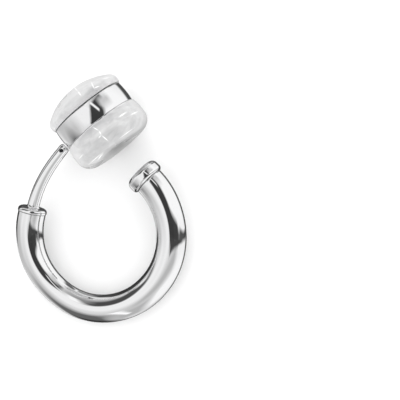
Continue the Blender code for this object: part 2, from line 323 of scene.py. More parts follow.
SILVER = metal(
    "polished_silver",
    colour=(0.93, 0.93, 0.935),
    smooth_value=0.03,
    hazy_value=0.06,
    bump=0.05,
)
DARK = metal(
    "dark_pin",
    colour=(0.035, 0.035, 0.038),
    smooth_value=0.25,
    hazy_value=0.4,
    bump=0.3,
)

# %% [markdown]
# ## Clear silicone
#
# The pads are moulded from clear silicone, which looks milky because light wanders about inside it.
# Faint streaks show where the rubber flowed in the mould. A few thin pale lines are painted
# highlights, laid along nicks and folds and as small glints, and two wide grey bands are painted
# shade. A picture could hold them, but it would blur close up, so all of it is worked out at each
# point. The first step is the thin band that makes one line, in a small group that measures how far
# a point lies from it.

# %% One pale line, as a node group
def number_node(nodes, operation, *values):
    """A sum with numbers, some of which may be linked later."""
    node = nodes.new("ShaderNodeMath")
    node.operation = operation
    for index, value in enumerate(values):
        node.inputs[index].default_value = value
    return node


def vector_node(nodes, operation, *values):
    """A sum with vectors, some of which may be linked later."""
    node = nodes.new("ShaderNodeVectorMath")
    node.operation = operation
    for index, value in enumerate(values):
        node.inputs[index].default_value = value
    return node


def hairline_group():
    """How much of a thin line a point lies on: 1 in its middle, 0 away from it."""
    tree, nodes, links, given, out = node_group(
        "hairline",
        "ShaderNodeTree",
        inputs=(
            *((name, "Vector", None) for name in ("Place", "Middle", "Along", "Across")),
            ("Half Length", "Float", 0.5 * MM),
            ("Half Width", "Float", 0.05 * MM),
        ),
        outputs=(("Mask", "Float"),),
    )
    offset = vector_node(nodes, "SUBTRACT")
    links.new(given.outputs["Place"], offset.inputs[0])
    links.new(given.outputs["Middle"], offset.inputs[1])
    shares = []
    for way, half in (("Along", "Half Length"), ("Across", "Half Width")):
        distance = vector_node(nodes, "DOT_PRODUCT")
        size = number_node(nodes, "ABSOLUTE")
        fall = range_node(nodes, {"From Min": 0.0, "To Min": 1.0, "To Max": 0.0}, smooth_step=True)
        links.new(offset.outputs["Vector"], distance.inputs[0])
        links.new(given.outputs[way], distance.inputs[1])
        links.new(distance.outputs["Value"], size.inputs[0])
        links.new(size.outputs[0], fall.inputs["Value"])
        links.new(given.outputs[half], fall.inputs["From Max"])
        shares.append(fall)
    both = number_node(nodes, "MULTIPLY")
    links.new(shares[0].outputs["Result"], both.inputs[0])
    links.new(shares[1].outputs["Result"], both.inputs[1])
    links.new(both.outputs[0], out.inputs["Mask"])
    return tree


HAIRLINE = hairline_group()
print("nodes in the group for one pale line:", len(HAIRLINE.nodes))

# %% [markdown]
# ## The painted highlight lines and the painted shade crescent
#
# Each row below holds where a line starts, where it ends and half its width, in millimetres in the
# hoop's own plane. Where two lines meet, the fold turns a corner. A line is drawn straight into
# the pad along one fixed direction, the one from which the photograph was taken. It fades out
# before the pad's middle, because a fold doesn't go right through the rubber. Two wide bands of
# the same kind make the grey crescent on the lower pad's outer side.
# The pale lines are painted highlights, laid along folds and nicks and as glints, and the grey crescent
# is painted shade.

# %% Draw the lines
TOWARDS_CAMERA = Vector((0.249, 0.113, 0.962))
# Painted highlights: pale lines along the pads' folds and nicks, and painted glints.
PAINTED_HIGHLIGHT_LINES = {
    "upper fold": ((-2.6, 16.48), (-2.09, 15.95), 0.1),
    "upper fold, lower end": ((-2.09, 15.95), (-1.63, 15.38), 0.09),
    "upper nick": ((-0.6, 17.1), (-0.14, 16.15), 0.08),
    "lower fold, start": ((-0.42, 11.97), (0.33, 11.56), 0.08),
    "lower fold, middle": ((0.33, 11.56), (0.58, 11.08), 0.08),
    "lower fold, end": ((0.58, 11.08), (1.4, 10.4), 0.09),
    "branch": ((0.58, 11.08), (0.24, 10.72), 0.07),
    "long streak": ((-1.2, 7.7), (0.75, 9.23), 0.07),
    "short streak": ((-2.2, 8.4), (-1.55, 9.0), 0.06),
    "end streak": ((0.0, 8.3), (0.75, 9.15), 0.1),
    "rim streak": ((2.55, 10.7), (4.3, 12.0), 0.05),
    "glint": ((2.5, 13.05), (3.5, 13.75), 0.13),
    "rim glint": ((3.9, 13.4), (4.8, 13.9), 0.1),
    "upper curl": ((-0.2, 16.3), (0.45, 16.55), 0.09),
    "upper end streak": ((0.65, 17.4), (1.65, 17.6), 0.08),
}
# Painted shade: two wide bands make the grey crescent on the lower pad's outer side.
PAINTED_SHADE_PATCHES = {
    "painted shade, outer crescent": ((0.45, 8.65), (4.0, 10.95), 0.5),
    "painted shade, darkest part": ((1.8, 9.45), (3.4, 10.6), 0.4),
}
HALF_LENGTH_SHARE = 0.6
FADE_FROM = 0.4 * MM
FADE_TO = 2.0 * MM


def drawn_lines(nodes, links, place, lines):
    """One mask for all the lines: the highest of their shares."""
    mask = number_node(nodes, "ADD", 0.0, 0.0)
    for name, (start, end, half_width) in lines.items():
        start, end = Vector((*start, 0.0)) * MM, Vector((*end, 0.0)) * MM
        along = (end - start).normalized()
        side = TOWARDS_CAMERA.cross(along).normalized()
        line = nodes.new("ShaderNodeGroup")
        line.label = name
        line.node_tree = HAIRLINE
        line.inputs["Middle"].default_value = LYING @ ((start + end) / 2)
        line.inputs["Along"].default_value = LYING.to_3x3() @ side.cross(TOWARDS_CAMERA).normalized()
        line.inputs["Across"].default_value = LYING.to_3x3() @ side
        line.inputs["Half Length"].default_value = (end - start).length * HALF_LENGTH_SHARE
        line.inputs["Half Width"].default_value = half_width * MM
        highest = number_node(nodes, "MAXIMUM")
        links.new(place.outputs["Object"], line.inputs["Place"])
        links.new(mask.outputs[0], highest.inputs[0])
        links.new(line.outputs["Mask"], highest.inputs[1])
        mask = highest
    return mask


def near_side(nodes, links, place, mask):
    """Keep a mask on the side of the pads that lies up, and fade it out towards the table."""
    up = LYING.to_3x3().col[2]
    height = vector_node(nodes, "DOT_PRODUCT", (0.0, 0.0, 0.0), up)
    middle = HOOP_PLACE.dot(up)
    fade = range_node(nodes, {"From Min": middle + FADE_FROM, "From Max": middle + FADE_TO})
    kept = number_node(nodes, "MULTIPLY")
    links.new(place.outputs["Object"], height.inputs[0])
    links.new(height.outputs["Value"], fade.inputs["Value"])
    links.new(fade.outputs["Result"], kept.inputs[0])
    links.new(mask.outputs[0], kept.inputs[1])
    return kept


print(len(PAINTED_HIGHLIGHT_LINES), "pale lines and", len(PAINTED_SHADE_PATCHES), "grey patches")

# %% [markdown]
# ## Streaks and a painted pale edge
#
# The flow streaks are noise stretched along one direction, with wide soft clouds mixed in. Seen at
# a slant the rubber looks whiter, because the eye looks through more of it, and Layer Weight paints
# that brightening into the colour. A little subsurface scattering lets the light wander, which plain
# transparency wouldn't.

# %% The silicone itself
SILICONE_IOR = 1.41
SCATTER_SHARE = 0.35
SCATTER_DEPTH = 0.8 * MM
STREAK_DIRECTION = math.radians(39)
STREAK_STRETCH = (6.0, 1.0, 1.0)
STREAKS_PER_METRE = 1200.0
CLOUDS_PER_METRE = 260.0
STREAK_SHARE = 0.6
CLOUD_SHARE = 0.4
STREAK_TONES = {0.38: (0.34, 0.34, 0.345, 1.0), 0.64: (0.54, 0.54, 0.54, 1.0)}
# The pale edge is a painted brightening where the rubber is seen at a slant.
EDGE_BLEND = 0.35
PAINTED_SLANT_WHITE = (0.74, 0.74, 0.74, 1.0)
# How strongly the painted shade of the crescent darkens the colour, and its grey.
PAINTED_SHADE_SHARE = 0.6
PAINTED_SHADE_GREY = (0.17, 0.17, 0.17, 1.0)
# The white of the painted highlight lines.
PAINTED_HIGHLIGHT_WHITE = (0.9, 0.9, 0.9, 1.0)
GLOSS_RANGE = {"From Min": 0.3, "From Max": 0.7, "To Min": 0.18, "To Max": 0.4}
STREAK_RELIEF = 0.25
STREAK_HEIGHT = 0.04 * MM


def laid_over(nodes, links, factor, below, colour):
    """Lay one plain colour over another as strongly as the factor says."""
    mix = nodes.new("ShaderNodeMix")
    mix.data_type = "RGBA"
    mix.inputs["B"].default_value = colour
    links.new(factor, mix.inputs["Factor"])
    links.new(below, mix.inputs["A"])
    return mix.outputs["Result"]


def flow_streaks(nodes, links, place):
    """The streaks with the clouds mixed in, and the clouds alone."""
    stretch = nodes.new("ShaderNodeMapping")
    stretch.vector_type = "TEXTURE"
    stretch.inputs["Rotation"].default_value = (0.0, 0.0, STREAK_DIRECTION)
    stretch.inputs["Scale"].default_value = STREAK_STRETCH
    links.new(place.outputs["Object"], stretch.inputs["Vector"])
    streaks = noise_node(nodes, links, stretch.outputs["Vector"], STREAKS_PER_METRE, 5.0)
    streaks.inputs["Roughness"].default_value = 0.6
    streaks.inputs["Distortion"].default_value = 0.5
    clouds = noise_node(nodes, links, place.outputs["Object"], CLOUDS_PER_METRE, 2.0)
    mixed = number_node(nodes, "MULTIPLY_ADD", 0.0, STREAK_SHARE, 0.0)
    shared = number_node(nodes, "MULTIPLY", 0.0, CLOUD_SHARE)
    links.new(streaks.outputs["Fac"], mixed.inputs[0])
    links.new(clouds.outputs["Fac"], shared.inputs[0])
    links.new(shared.outputs[0], mixed.inputs[2])
    return mixed.outputs[0], clouds.outputs["Fac"]


def silicone_material():
    """Clear rubber with streaks, a painted pale edge, the painted shade of the grey crescent and
    painted highlight lines.
    """
    material = bpy.data.materials.new("clear_silicone")
    material.use_nodes = True
    nodes, links = material.node_tree.nodes, material.node_tree.links
    shader = nodes["Principled BSDF"]
    shader.inputs["IOR"].default_value = SILICONE_IOR
    shader.inputs["Subsurface Weight"].default_value = SCATTER_SHARE
    shader.inputs["Subsurface Radius"].default_value = (1.0, 1.0, 1.0)
    shader.inputs["Subsurface Scale"].default_value = SCATTER_DEPTH
    place = nodes.new("ShaderNodeTexCoord")
    mixed, clouds = flow_streaks(nodes, links, place)
    tint = nodes.new("ShaderNodeValToRGB")
    for element, (position, tone) in zip(tint.color_ramp.elements, STREAK_TONES.items()):
        element.position = position
        element.color = tone
    links.new(mixed, tint.inputs["Fac"])
    # Painted brightening: the colour turns whiter where the surface is seen at a slant.
    edge = nodes.new("ShaderNodeLayerWeight")
    edge.inputs["Blend"].default_value = EDGE_BLEND
    milky = laid_over(nodes, links, edge.outputs["Facing"], tint.outputs["Color"], PAINTED_SLANT_WHITE)
    # Painted shade: the grey crescent is laid over the colour.
    share = number_node(nodes, "MULTIPLY", 0.0, PAINTED_SHADE_SHARE)
    links.new(drawn_lines(nodes, links, place, PAINTED_SHADE_PATCHES).outputs[0], share.inputs[0])
    shaded = laid_over(nodes, links, share.outputs[0], milky, PAINTED_SHADE_GREY)
    # Painted highlights: the pale lines are laid over the colour.
    lines = near_side(nodes, links, place, drawn_lines(nodes, links, place, PAINTED_HIGHLIGHT_LINES))
    colour = laid_over(nodes, links, lines.outputs[0], shaded, PAINTED_HIGHLIGHT_WHITE)
    links.new(colour, shader.inputs["Base Color"])
    gloss = range_node(nodes, GLOSS_RANGE)
    links.new(clouds, gloss.inputs["Value"])
    links.new(gloss.outputs["Result"], shader.inputs["Roughness"])
    relief = nodes.new("ShaderNodeBump")
    relief.inputs["Strength"].default_value = STREAK_RELIEF
    relief.inputs["Distance"].default_value = STREAK_HEIGHT
    links.new(mixed, relief.inputs["Height"])
    links.new(relief.outputs["Normal"], shader.inputs["Normal"])
    return material


SILICONE = silicone_material()
print("nodes in the silicone:", len(SILICONE.node_tree.nodes))

# %% [markdown]
# ## The hoop tube
#
# The real hoop is drawn tube bent round a former: its shape is nothing but a circle carried along
# a path. A torus would have one thickness all round, so Geometry Nodes sweep the circle instead,
# with Curve to Mesh. The radius of each point on the path gives the tube's thickness there. Curve
# to Mesh doesn't read it by itself, so it is linked to the Scale input.

# %% A node tree that sweeps a round section along a path
def swept_tube_tree():
    """A round section carried along a path, as thick as the path's points say."""
    tree, nodes, links, given, out = node_group(
        "swept_tube",
        "GeometryNodeTree",
        inputs=(
            ("Path", "Geometry", None),
            ("Diameter", "Float", 1.0 * MM),
            ("Sides", "Int", 32),
            ("Finish", "Material", None),
        ),
        outputs=(("Tube", "Geometry"),),
    )
    half = number_node(nodes, "MULTIPLY", 0.0, 0.5)
    thickness = nodes.new("GeometryNodeInputRadius")
    section = nodes.new("GeometryNodeCurvePrimitiveCircle")
    sweep = nodes.new("GeometryNodeCurveToMesh")
    sweep.inputs["Fill Caps"].default_value = True
    shade = nodes.new("GeometryNodeSetShadeSmooth")
    realize = nodes.new("GeometryNodeRealizeInstances")
    finish = nodes.new("GeometryNodeSetMaterial")
    links.new(given.outputs["Diameter"], half.inputs[0])
    links.new(half.outputs[0], section.inputs["Radius"])
    links.new(given.outputs["Sides"], section.inputs["Resolution"])
    links.new(given.outputs["Path"], sweep.inputs["Curve"])
    links.new(section.outputs["Curve"], sweep.inputs["Profile Curve"])
    links.new(thickness.outputs["Radius"], sweep.inputs["Scale"])
    links.new(sweep.outputs["Mesh"], shade.inputs["Geometry"])
    links.new(shade.outputs["Geometry"], realize.inputs["Geometry"])
    links.new(realize.outputs["Geometry"], finish.inputs["Geometry"])
    links.new(given.outputs["Finish"], finish.inputs["Material"])
    links.new(finish.outputs["Geometry"], out.inputs["Tube"])
    return tree


SWEPT_TUBE = swept_tube_tree()


def swept(name, path, diameters, sides, material):
    """A tube along the path, with its diameter at each point, all in millimetres."""
    curve = bpy.data.curves.new(name + "_path", "CURVE")
    curve.dimensions = "3D"
    curve.twist_mode = "Z_UP"
    spline = curve.splines.new("POLY")
    spline.points.add(len(path) - 1)
    for point, place, diameter in zip(spline.points, path, diameters):
        point.co = (place.x * MM, place.y * MM, 0.0, 1.0)
        point.radius = diameter
    guide = bpy.data.objects.new(name + "_path", curve)
    bpy.context.scene.collection.objects.link(guide)
    step = guide.modifiers.new("swept_tube", "NODES")
    step.node_group = SWEPT_TUBE
    values = {"Diameter": 1.0 * MM, "Sides": sides, "Finish": material}
    for item in SWEPT_TUBE.interface.items_tree:
        if item.in_out == "INPUT" and item.name in values:
            step[item.identifier] = values[item.name]
    bpy.context.view_layer.update()
    mesh = bpy.data.meshes.new_from_object(guide.evaluated_get(bpy.context.evaluated_depsgraph_get()))
    bpy.data.objects.remove(guide, do_unlink=True)
    mesh.name = name
    shape = bmesh.new()
    shape.from_mesh(mesh)
    bmesh.ops.remove_doubles(shape, verts=shape.verts, dist=WELD_DISTANCE)
    bmesh.ops.recalc_face_normals(shape, faces=shape.faces)
    shape.to_mesh(mesh)
    shape.free()
    smooth(mesh)
    return new_piece(name, mesh)


print("nodes that sweep a tube:", len(SWEPT_TUBE.nodes))

# %% [markdown]
# ## Bending the hoop
#
# A tube bent by hand is never a perfect ring. Seen along this one, it is a little thicker at the cap
# than at the collar and its path drifts in and out by a tenth of a millimetre. Nine stations hold
# that, one every 30 degrees, with the path's radius and the tube's diameter. A smooth curve through
# them fills in the rest. A short straight tail runs into the collar, and the edge at the cap is
# filed over a little.

# %% Bend the hoop
CAP_SEAM_ANGLE = math.radians(46.5)
STATION_STEP = math.radians(30)
STATIONS = (
    (8.47, 3.42),
    (8.34, 3.38),
    (8.32, 3.4),
    (8.33, 3.36),
    (8.39, 3.24),
    (8.42, 3.16),
    (8.29, 3.06),
    (8.32, 3.1),
    (8.34, 3.18),
)
INSIDE_CAD = Vector((0.007, 0.03))
TAIL_LENGTH = 0.45
TUBE_STEPS = 256
TUBE_SIDES = 96
FIRST_STEP = 0.05
CAP_END_EASE = ((0.0, 0.968), (0.03, 0.984), (0.07, 0.995), (0.14, 1.0))
CLEAR_OF_EASE = 0.15


def at_station(place):
    """Path radius and tube diameter at a place counted in stations."""
    last = len(STATIONS) - 1
    index = min(int(place), last - 1)
    t = place - index
    a, b, c, d = (Vector(STATIONS[min(max(i, 0), last)]) for i in range(index - 1, index + 3))
    curve = b * 2 + (c - a) * t + (a * 2 - b * 5 + c * 4 - d) * t**2 + (b * 3 - a - c * 3 + d) * t**3
    return curve / 2 - INSIDE_CAD


def hoop_line():
    """The hoop's path from the cap round the bottom to the collar, and the diameter at each point."""
    path, diameters = [], []
    for step in (0.0, FIRST_STEP, *range(1, TUBE_STEPS + 1)):
        place = (len(STATIONS) - 1) * step / TUBE_STEPS
        radius, diameter = at_station(place)
        angle = CAP_SEAM_ANGLE - STATION_STEP * place
        path.append(Vector((math.cos(angle), math.sin(angle))) * radius)
        diameters.append(diameter)
    tail = (path[-1] - path[-2]).normalized()
    path.append(path[-1] + tail * TAIL_LENGTH)
    diameters.append(diameters[-1])
    return path, diameters


HOOP_LINE = hoop_line()
CAP_END, COLLAR_END = HOOP_LINE[0][0], HOOP_LINE[0][-1]
CAP_WAY = (HOOP_LINE[0][0] - HOOP_LINE[0][1]).normalized()
COLLAR_WAY = (HOOP_LINE[0][-1] - HOOP_LINE[0][-2]).normalized()


def filed_over(path, widths):
    """The same line with the edge of its cap end filed over."""
    way = (path[1] - path[0]).normalized()
    ease = [(path[0] + way * distance, widths[0] * share) for distance, share in CAP_END_EASE]
    rest = [row for row in zip(path, widths) if (row[0] - path[0]).length > CLEAR_OF_EASE]
    whole = ease + rest
    return [row[0] for row in whole], [row[1] for row in whole]


path, diameters = filed_over(*HOOP_LINE)
hoop = swept("polished_hoop", path, diameters, TUBE_SIDES, SILVER)
lay_down(hoop, "hoop", ["hoop_tube"])
print("collar end at", [round(x, 3) for x in COLLAR_END], "cap end at", [round(x, 3) for x in CAP_END])

# %% [markdown]
# ## The end cap
#
# A knob with a flat face closes the front end of the hoop. It is a turned piece, a little wider
# than the tube, and its edge is rolled over like a pillow's. A scaled sphere would have no flat
# face, so one outline with two large roundings makes it.

# %% Turn the end cap
CAP_DIAMETER = 4.09
CAP_LENGTH = 1.52
CAP_FRONT_ROUNDING = 0.64
CAP_BACK_ROUNDING = 0.35
CAP_BACK_RADIUS = 1.2
CAP_SIDES = 128
SEAM = 0.05

cap_outline = rounded(
    [
        (0, CAP_LENGTH, 0),
        (CAP_DIAMETER / 2, CAP_LENGTH, CAP_FRONT_ROUNDING),
        (CAP_DIAMETER / 2, SEAM, CAP_BACK_ROUNDING),
        (CAP_BACK_RADIUS, SEAM, 0),
        (0, SEAM, 0),
    ]
)
cap = turned("pillow_cap", cap_outline, CAP_SIDES, SILVER)
cap.data.transform(frame_at(CAP_END.x, CAP_END.y, math.atan2(CAP_WAY.y, CAP_WAY.x)))
lay_down(cap, "hoop", ["end_cap"])

# %% [markdown]
# ## The collar and the stem
#
# On the other end the tube is closed by a rolled ring. A thin rod grows out of it through a small
# trumpet foot, bends towards the clip and ends in a fork for the hinge. They are soldered and
# polished as one, so the ring and the rod are joined with a Boolean, and the fork's slot and the
# pin's hole are cut afterwards.

# %% Sweep the stem
STEM_BASE_DIAMETER = 1.38
STEM_TIP_DIAMETER = 1.2
STEM_TIP_ANGLE = math.radians(49)
STEM_STEPS = 90
STEM_SIDES = 48
STEM_BEND = 0.36
COLLAR_LENGTH = 0.6
PIN = Vector((-4.19, 9.48))
TIP_EASE = ((0.24, 1.0), (0.36, 0.985), (0.46, 0.94), (0.54, 0.86), (0.6, 0.72))


def bezier(a, b, c, d, t):
    """A point on the smooth curve from a to d that b and c pull towards them."""
    u = 1 - t
    return a * u**3 + b * (3 * t * u**2) + c * (3 * t**2 * u) + d * t**3


def stem_line():
    """The stem's path from the middle of the collar to its tip, and the diameter at each point."""
    arrive = Vector((math.cos(STEM_TIP_ANGLE), math.sin(STEM_TIP_ANGLE)))
    start = COLLAR_END + COLLAR_WAY * COLLAR_LENGTH / 2
    bend = (PIN - start).length * STEM_BEND
    path, diameters = [], []
    for step in range(STEM_STEPS + 1):
        t = step / STEM_STEPS
        path.append(bezier(start, start + COLLAR_WAY * bend, PIN - arrive * bend, PIN, t))
        diameters.append(STEM_BASE_DIAMETER + (STEM_TIP_DIAMETER - STEM_BASE_DIAMETER) * t)
    for distance, share in TIP_EASE:
        path.append(PIN + arrive * distance)
        diameters.append(STEM_TIP_DIAMETER * share)
    return path, diameters


stem = swept("curved_stem", *stem_line(), STEM_SIDES, SILVER)
print("stem alone:", len(stem.data.polygons), "faces")

# %% [markdown]
# The collar is turned as one outline, from the top of the foot outwards and down. The foot's flare
# is one inward corner with a large rounding, and the ring's rolled edge is an outward one.

# %% Turn the collar, join it to the stem and cut the fork
FOOT_HEIGHT = 1.05
FOOT_TOP_RADIUS = 0.66
FOOT_RADIUS = 0.69
FOOT_FLARE = 0.36
COLLAR_FLAT_RADIUS = 1.05
COLLAR_RADIUS = 1.65
COLLAR_SHOULDER = 0.56
SHOULDER_ROUNDING = 0.34
LOW_EDGE_ROUNDING = 0.06
COLLAR_BACK_RADIUS = 1.3
COLLAR_SIDES = 128
FORK_SLOT_HALF_WIDTH = 0.23
FORK_SLOT_DEPTH = 0.7
PIN_HOLE_DIAMETER = 0.5
PIN_SIDES = 48
CUTTER_REACH = 1.0

collar_outline = rounded(
    [
        (0, FOOT_HEIGHT, 0),
        (FOOT_TOP_RADIUS, FOOT_HEIGHT, 0),
        (FOOT_RADIUS, COLLAR_LENGTH, FOOT_FLARE),
        (COLLAR_FLAT_RADIUS, COLLAR_LENGTH, 0),
        (COLLAR_RADIUS, COLLAR_SHOULDER, SHOULDER_ROUNDING),
        (COLLAR_RADIUS, SEAM, LOW_EDGE_ROUNDING),
        (COLLAR_BACK_RADIUS, SEAM, 0),
        (0, SEAM, 0),
    ]
)
collar = turned("rolled_collar", collar_outline, COLLAR_SIDES, SILVER)
collar.data.transform(frame_at(COLLAR_END.x, COLLAR_END.y, math.atan2(COLLAR_WAY.y, COLLAR_WAY.x)))
combine(stem, collar, "UNION")
tip = frame_at(PIN.x, PIN.y, STEM_TIP_ANGLE)
slot_cutter = box(
    "fork_slot",
    (-CUTTER_REACH, -FORK_SLOT_HALF_WIDTH, -FORK_SLOT_DEPTH),
    (CUTTER_REACH, FORK_SLOT_HALF_WIDTH, CUTTER_REACH),
)
slot_cutter.data.transform(tip)
combine(stem, slot_cutter, "DIFFERENCE")
pin_line = Matrix.Translation((PIN.x * MM, PIN.y * MM, 0))
hole = cylinder("stem_pin_hole", PIN_HOLE_DIAMETER, -CUTTER_REACH, CUTTER_REACH, PIN_SIDES)
hole.data.transform(pin_line)
combine(stem, hole, "DIFFERENCE")
lay_down(stem, "hoop", ["clip_stem"])

# %% [markdown]
# ## The hinge pin
#
# The pin is a plain wire end, coloured nearly black, in a hole that is a little wider, which is why
# it reads as a dot with a ring round it. It is turned with rounded ends, because a cut wire's ends
# are filed.

# %% Turn the pin
PIN_RADIUS = 0.2
PIN_HALF_LENGTH = 0.52
PIN_ROUNDING = 0.05

pin_outline = rounded(
    [
        (0, PIN_HALF_LENGTH, 0),
        (PIN_RADIUS, PIN_HALF_LENGTH, PIN_ROUNDING),
        (PIN_RADIUS, -PIN_HALF_LENGTH, PIN_ROUNDING),
        (0, -PIN_HALF_LENGTH, 0),
    ]
)
pin = turned("dark_hinge_pin", pin_outline, PIN_SIDES, DARK)
pin.data.transform(pin_line)
lay_down(pin, "hoop", ["hinge_pin"])

# %% [markdown]
# ## The clip's drum
#
# The clip head is a shallow polished drum with a slightly narrower neck below it, where the lower
# pad is pressed on. Its wall swells a little from the rims to the middle, which bends the stripes
# that it mirrors. A straight cylinder would mirror straight ones.

# %% Turn the drum
HEAD_ANGLE = math.radians(129.2)
RIM = Vector((0.34, 12.42))
DRUM_DIAMETER = 9.05
DRUM_HEIGHT = 2.4
NECK_DIAMETER = 8.7
NECK_HEIGHT = 0.55
DRUM_SIDES = 192
TOP_RIM_ROUNDING = 0.14
LOW_RIM_ROUNDING = 0.1
WALL_SWELL = 0.07
WALL_STEPS = 12
HEAD = frame_at(RIM.x, RIM.y, HEAD_ANGLE)


def wall_radius(height):
    """The wall swells a little from the rims to its middle."""
    return DRUM_DIAMETER / 2 - WALL_SWELL * (2 * height / DRUM_HEIGHT - 1) ** 2


wall = []
for step in range(2, WALL_STEPS - 1):
    height = DRUM_HEIGHT * (1 - step / WALL_STEPS)
    wall.append((wall_radius(height), height, 0))
drum_outline = rounded(
    [
        (0, DRUM_HEIGHT, 0),
        (wall_radius(DRUM_HEIGHT), DRUM_HEIGHT, TOP_RIM_ROUNDING),
        *wall,
        (wall_radius(0), 0, LOW_RIM_ROUNDING),
        (NECK_DIAMETER / 2, 0, 0),
        (NECK_DIAMETER / 2, -NECK_HEIGHT, 0),
        (0, -NECK_HEIGHT, 0),
    ]
)
drum = turned("polished_drum", drum_outline, DRUM_SIDES, SILVER)
print("drum alone:", len(drum.data.polygons), "faces")

# %% [markdown]
# A flat tongue stands out of the neck towards the stem, and the pin runs through its round eye. It
# is a box joined to a short cylinder, with a hole through both, and it fits in the stem's fork with
# a little room on each side.

# %% Add the tongue
EYE_DIAMETER = 0.9
TONGUE_HALF_THICKNESS = 0.18

pin_in_head = HEAD.inverted() @ Vector((PIN.x * MM, PIN.y * MM, 0)) / MM
arm = box(
    "tongue_arm",
    (pin_in_head.x, -TONGUE_HALF_THICKNESS, pin_in_head.z - EYE_DIAMETER / 2),
    (0, TONGUE_HALF_THICKNESS, pin_in_head.z + EYE_DIAMETER / 2),
)
combine(drum, arm, "UNION")
drum.data.transform(HEAD)
eye = cylinder("tongue_eye", EYE_DIAMETER, -TONGUE_HALF_THICKNESS, TONGUE_HALF_THICKNESS, PIN_SIDES)
eye.data.transform(pin_line)
combine(drum, eye, "UNION")
hole = cylinder("tongue_pin_hole", PIN_HOLE_DIAMETER, -CUTTER_REACH, CUTTER_REACH, PIN_SIDES)
hole.data.transform(pin_line)
combine(drum, hole, "DIFFERENCE")
lay_down(drum, "clip_head", ["clip_drum"])

# %% [markdown]
# ## The two silicone pads
#
# Both pads are soft mouldings that are a little wider than the drum. The upper one is a shallow
# dome on the drum's far face. The lower one is a thick round-edged disc with a shallow pocket, and
# its lip is pressed over the drum's neck, so that the neck doesn't show. Soft rubber is never
# quite true, so slow waves a few hundredths of a millimetre deep are pressed into both. The dome
# comes first: a shallow slice of a sphere that turns down into a short soft rim.

# %% Mould the upper pad
UPPER_RADIUS = 4.7
UPPER_HEIGHT = 2.65
UPPER_EDGE_HEIGHT = 1.0
DOME_END_RADIUS = 4.42
DOME_STEPS = 24
UPPER_RIM = ((4.6, 0.97), (4.68, 0.82), (4.7, 0.65), (4.7, 0.35), (4.66, 0.15), (4.56, 0.0))
UPPER_WAVE_DEPTH = 0.08 * MM
UPPER_WAVES_PER_METRE = 350
PAD_SIDES = 160


def upper_outline():
    """The dome's arc from its top outwards, then the rim as (radius, height) and the flat underside."""
    base = DRUM_HEIGHT + SEAM
    rise = UPPER_HEIGHT - UPPER_EDGE_HEIGHT
    sphere = (UPPER_RADIUS**2 + rise**2) / (2 * rise)
    lean_end = math.asin(DOME_END_RADIUS / sphere)
    points = []
    for step in range(DOME_STEPS + 1):
        lean = lean_end * step / DOME_STEPS
        drop = sphere * (1 - math.cos(lean))
        points.append(Vector((sphere * math.sin(lean), base + UPPER_HEIGHT - drop)) * MM)
    for x, z in (*UPPER_RIM, (0, 0)):
        points.append(Vector((x, base + z)) * MM)
    return points


def uneven(piece, depth, per_metre):
    """Press slow waves a few hundredths of a millimetre deep into the piece."""
    piece.data.update()
    moves = []
    for vertex in piece.data.vertices:
        wave = (noise.noise(vertex.co * per_metre) - 1) / 2
        moves.append(vertex.co + vertex.normal * wave * depth)
    for vertex, place in zip(piece.data.vertices, moves):
        vertex.co = place


upper = turned("upper_cushion", upper_outline(), PAD_SIDES, SILICONE)
uneven(upper, UPPER_WAVE_DEPTH, UPPER_WAVES_PER_METRE)
upper.data.transform(HEAD)
lay_down(upper, "clip_head", ["upper_pad"])

# %% [markdown]
# The lower pad's outline starts in the pocket, climbs over the lip and comes down outside. Its
# outer edge has the largest rounding of all, because that is what the lobe touches.

# %% Mould the lower pad
POCKET_FLOOR = -NECK_HEIGHT - SEAM
LOWER_THICKNESS = 2.8
LOWER_RADIUS = 4.75
LIP_RADIUS = 4.6
LIP_ROUNDING = 0.12
SHOULDER_HEIGHT = -1.0
PAD_SHOULDER_ROUNDING = 1.0
OUTER_ROUNDING = 1.55
PAD_CORNER_STEPS = 16
LOWER_WAVE_DEPTH = 0.05 * MM
LOWER_WAVES_PER_METRE = 300

lower_outline = rounded(
    [
        (0, POCKET_FLOOR, 0),
        (NECK_DIAMETER / 2 + SEAM, POCKET_FLOOR, 0),
        (NECK_DIAMETER / 2 + SEAM, -SEAM, 0),
        (LIP_RADIUS, -SEAM, LIP_ROUNDING),
        (LOWER_RADIUS, SHOULDER_HEIGHT, PAD_SHOULDER_ROUNDING),
        (LOWER_RADIUS, POCKET_FLOOR - LOWER_THICKNESS, OUTER_ROUNDING),
        (0, POCKET_FLOOR - LOWER_THICKNESS, 0),
    ],
    steps=PAD_CORNER_STEPS,
)
lower = turned("lower_cushion", lower_outline, PAD_SIDES, SILICONE)
uneven(lower, LOWER_WAVE_DEPTH, LOWER_WAVES_PER_METRE)
lower.data.transform(HEAD)
lay_down(lower, "clip_head", ["lower_pad"])

# %% [markdown]
# ## The table
#
# The earring lies on a plain white table. One large square is enough. It is nearly matt, so that it
# takes a soft shadow and mirrors next to nothing.

# %% Floor
FLOOR_HALF_WIDTH = 1.5

floor_shape = bmesh.new()
bmesh.ops.create_grid(floor_shape, x_segments=1, y_segments=1, size=FLOOR_HALF_WIDTH)
floor_mesh = bpy.data.meshes.new("floor")
floor_shape.to_mesh(floor_mesh)
floor_shape.free()
floor_paint = bpy.data.materials.new("white_table")
floor_paint.use_nodes = True
paint = floor_paint.node_tree.nodes["Principled BSDF"]
paint.inputs["Base Color"].default_value = (0.9, 0.9, 0.9, 1.0)
paint.inputs["Roughness"].default_value = 0.7
paint.inputs["Specular IOR Level"].default_value = 0.1
floor = new_piece("floor", floor_mesh, floor_paint)
print("table:", 2 * FLOOR_HALF_WIDTH, "m wide")

# %% [markdown]
# ## The camera
#
# The camera looks down on the earring along the same line as the photographer's, a quarter of a
# metre away, with a long lens so that near and far pieces keep their true sizes. Its place is
# given from the hoop: first where the hoop stands in the camera's view, and then the other way
# round.

